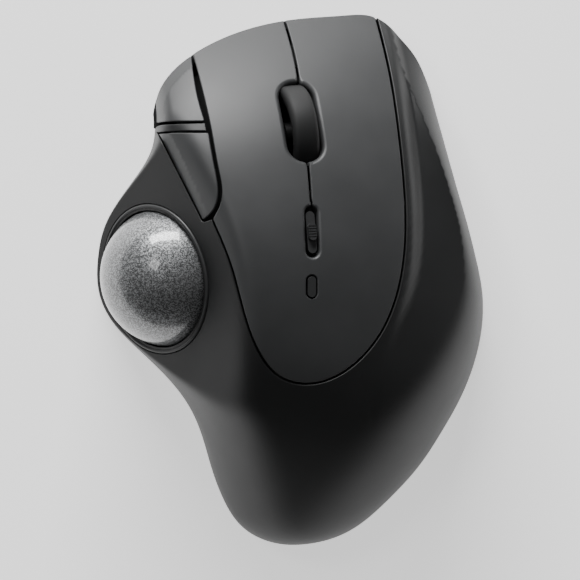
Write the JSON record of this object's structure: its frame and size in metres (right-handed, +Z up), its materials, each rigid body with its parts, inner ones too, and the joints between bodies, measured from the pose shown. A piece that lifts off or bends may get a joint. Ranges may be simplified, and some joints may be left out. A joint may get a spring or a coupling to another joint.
{
  "type": "thumb-operated trackball mouse",
  "caption": "Wireless right-hand trackball mouse with a thumb ball in an open socket, a tilting scroll wheel, cursor buttons, thumb buttons and a mode slider.",
  "frame": {"origin": "middle of the object's box at desk level", "axes": "+Z up, +Y the way the cursor buttons point, +X to the right of the hand"},
  "size_m": [0.0993, 0.1363, 0.0507],
  "materials": {
    "black_shell": "fine spark-eroded texture",
    "grey_plate": "satin",
    "grey_button": "satin",
    "inner_plastic": "smooth",
    "ball": "polished, fine silver flake",
    "carrier_plastic": "moulded",
    "steel": "polished",
    "rubber": "matt",
    "board": "solder resist",
    "switch_body": "moulded",
    "lens_clear": "clear",
    "screw": "blackened",
    "spring": "bright",
    "cell": "printed sleeve",
    "pad": "slick",
    "knob": "moulded"
  },
  "bodies": {
    "casing": {"base_shell": "black_shell", "main_shell": "black_shell", "plate_support": "inner_plastic", "top_plate": "grey_plate", "ball_cup": "inner_plastic", "sensor_lens": "lens_clear", "ball_sensor": "switch_body", "sensor_board": "board", "main_board": "board", "side_board": "board", "upper_board": "board", "left_switch": "switch_body", "right_switch": "switch_body", "forward_switch": "switch_body", "back_switch": "switch_body", "wheel_switch": "switch_body", "pill_switch": "switch_body", "mode_switch": "switch_body", "power_switch": "switch_body", "wheel_bracket": "inner_plastic", "wheel_spring": "spring", "battery_cell": "cell", "contact_spring": "spring", "contact_plate": "steel", "base_screws": "screw", "glide_pads": "pad", "bearing_carrier_1": "carrier_plastic", "bearing_pin_1": "steel", "bearing_carrier_2": "carrier_plastic", "bearing_pin_2": "steel", "bearing_carrier_3": "carrier_plastic", "bearing_pin_3": "steel"},
    "left_button": {"left_button": "grey_plate"},
    "right_button": {"right_button": "grey_plate"},
    "forward_button": {"forward_button": "grey_button"},
    "back_button": {"back_button": "grey_button"},
    "ball": {"ball": "ball"},
    "ring_1": {"bearing_ring_1": "steel"},
    "ring_2": {"bearing_ring_2": "steel"},
    "ring_3": {"bearing_ring_3": "steel"},
    "wheel_press": {"wheel_press_frame": "inner_plastic"},
    "wheel_tilt": {"wheel_cradle": "inner_plastic"},
    "wheel": {"wheel_tyre": "rubber", "wheel_hub": "inner_plastic", "wheel_axle": "steel"},
    "mode_slider": {"mode_slider": "knob"},
    "pill_button": {"pill_button": "knob"},
    "power_slider": {"power_slider": "knob"},
    "battery_door": {"battery_door": "black_shell"}
  },
  "joints": [
    {"name": "left_button_press", "type": "hinge", "parent": "casing", "child": "left_button", "pos_m": [-0.009, 0.01975, 0.0475], "axis": [-1, 0, 0], "range_deg": [0, 1], "stiffness_Nm_per_rad": 1.2},
    {"name": "right_button_press", "type": "hinge", "parent": "casing", "child": "right_button", "pos_m": [0.018, 0.01975, 0.0395], "axis": [-1, 0, 0], "range_deg": [0, 1], "stiffness_Nm_per_rad": 1.2},
    {"name": "forward_button_press", "type": "slide", "parent": "casing", "child": "forward_button", "axis": [0.5, -0.446, -0.7423], "range_m": [0, 0.0005], "stiffness_N_per_m": 1800},
    {"name": "back_button_press", "type": "slide", "parent": "casing", "child": "back_button", "axis": [0.5, -0.446, -0.7423], "range_m": [0, 0.0005], "stiffness_N_per_m": 1800},
    {"name": "ball_roll", "type": "hinge", "parent": "casing", "child": "ball", "pos_m": [-0.0303, 0.0012, 0.024], "axis": [1, 0, 0], "continuous": true},
    {"name": "ring_1_spin", "type": "hinge", "parent": "casing", "child": "ring_1", "pos_m": [-0.01024, 0.00546, 0.02616], "axis": [-0.2079, 0.9781, 0], "continuous": true},
    {"name": "ring_2_spin", "type": "hinge", "parent": "casing", "child": "ring_2", "pos_m": [-0.02918, 0.01542, 0.00911], "axis": [-0.4845, -0.6142, -0.623], "continuous": true},
    {"name": "ring_3_spin", "type": "hinge", "parent": "casing", "child": "ring_3", "pos_m": [-0.0235, -0.01134, 0.00911], "axis": [0.6924, -0.364, 0.623], "continuous": true},
    {"name": "wheel_click", "type": "slide", "parent": "casing", "child": "wheel_press", "axis": [-0.1995, -0.3976, -0.8956], "range_m": [0, 0.0006], "stiffness_N_per_m": 1700},
    {"name": "wheel_rock", "type": "hinge", "parent": "wheel_press", "child": "wheel_tilt", "pos_m": [0.00059, 0.03579, 0.02786], "axis": [-0.1933, 0.912, -0.3618], "range_deg": [-3, 3], "stiffness_Nm_per_rad": 0.25},
    {"name": "wheel_spin", "type": "hinge", "parent": "wheel_tilt", "child": "wheel", "pos_m": [0.00118, 0.03698, 0.03055], "axis": [0.9606, 0.101, -0.2588], "continuous": true},
    {"name": "mode_slide", "type": "slide", "parent": "casing", "child": "mode_slider", "axis": [-0.0741, 0.9889, -0.129], "range_m": [-0.001, 0.001]},
    {"name": "pill_press", "type": "slide", "parent": "casing", "child": "pill_button", "axis": [-0.2686, 0.0342, -0.9626], "range_m": [0, 0.00025], "stiffness_N_per_m": 3500},
    {"name": "power_slide", "type": "slide", "parent": "casing", "child": "power_slider", "axis": [0, 1, 0], "range_m": [-0.0015, 0.0015]},
    {"name": "door_removal", "type": "slide", "parent": "casing", "child": "battery_door", "axis": [0, 0, -1], "range_m": [0, 0.02]}
  ]
}
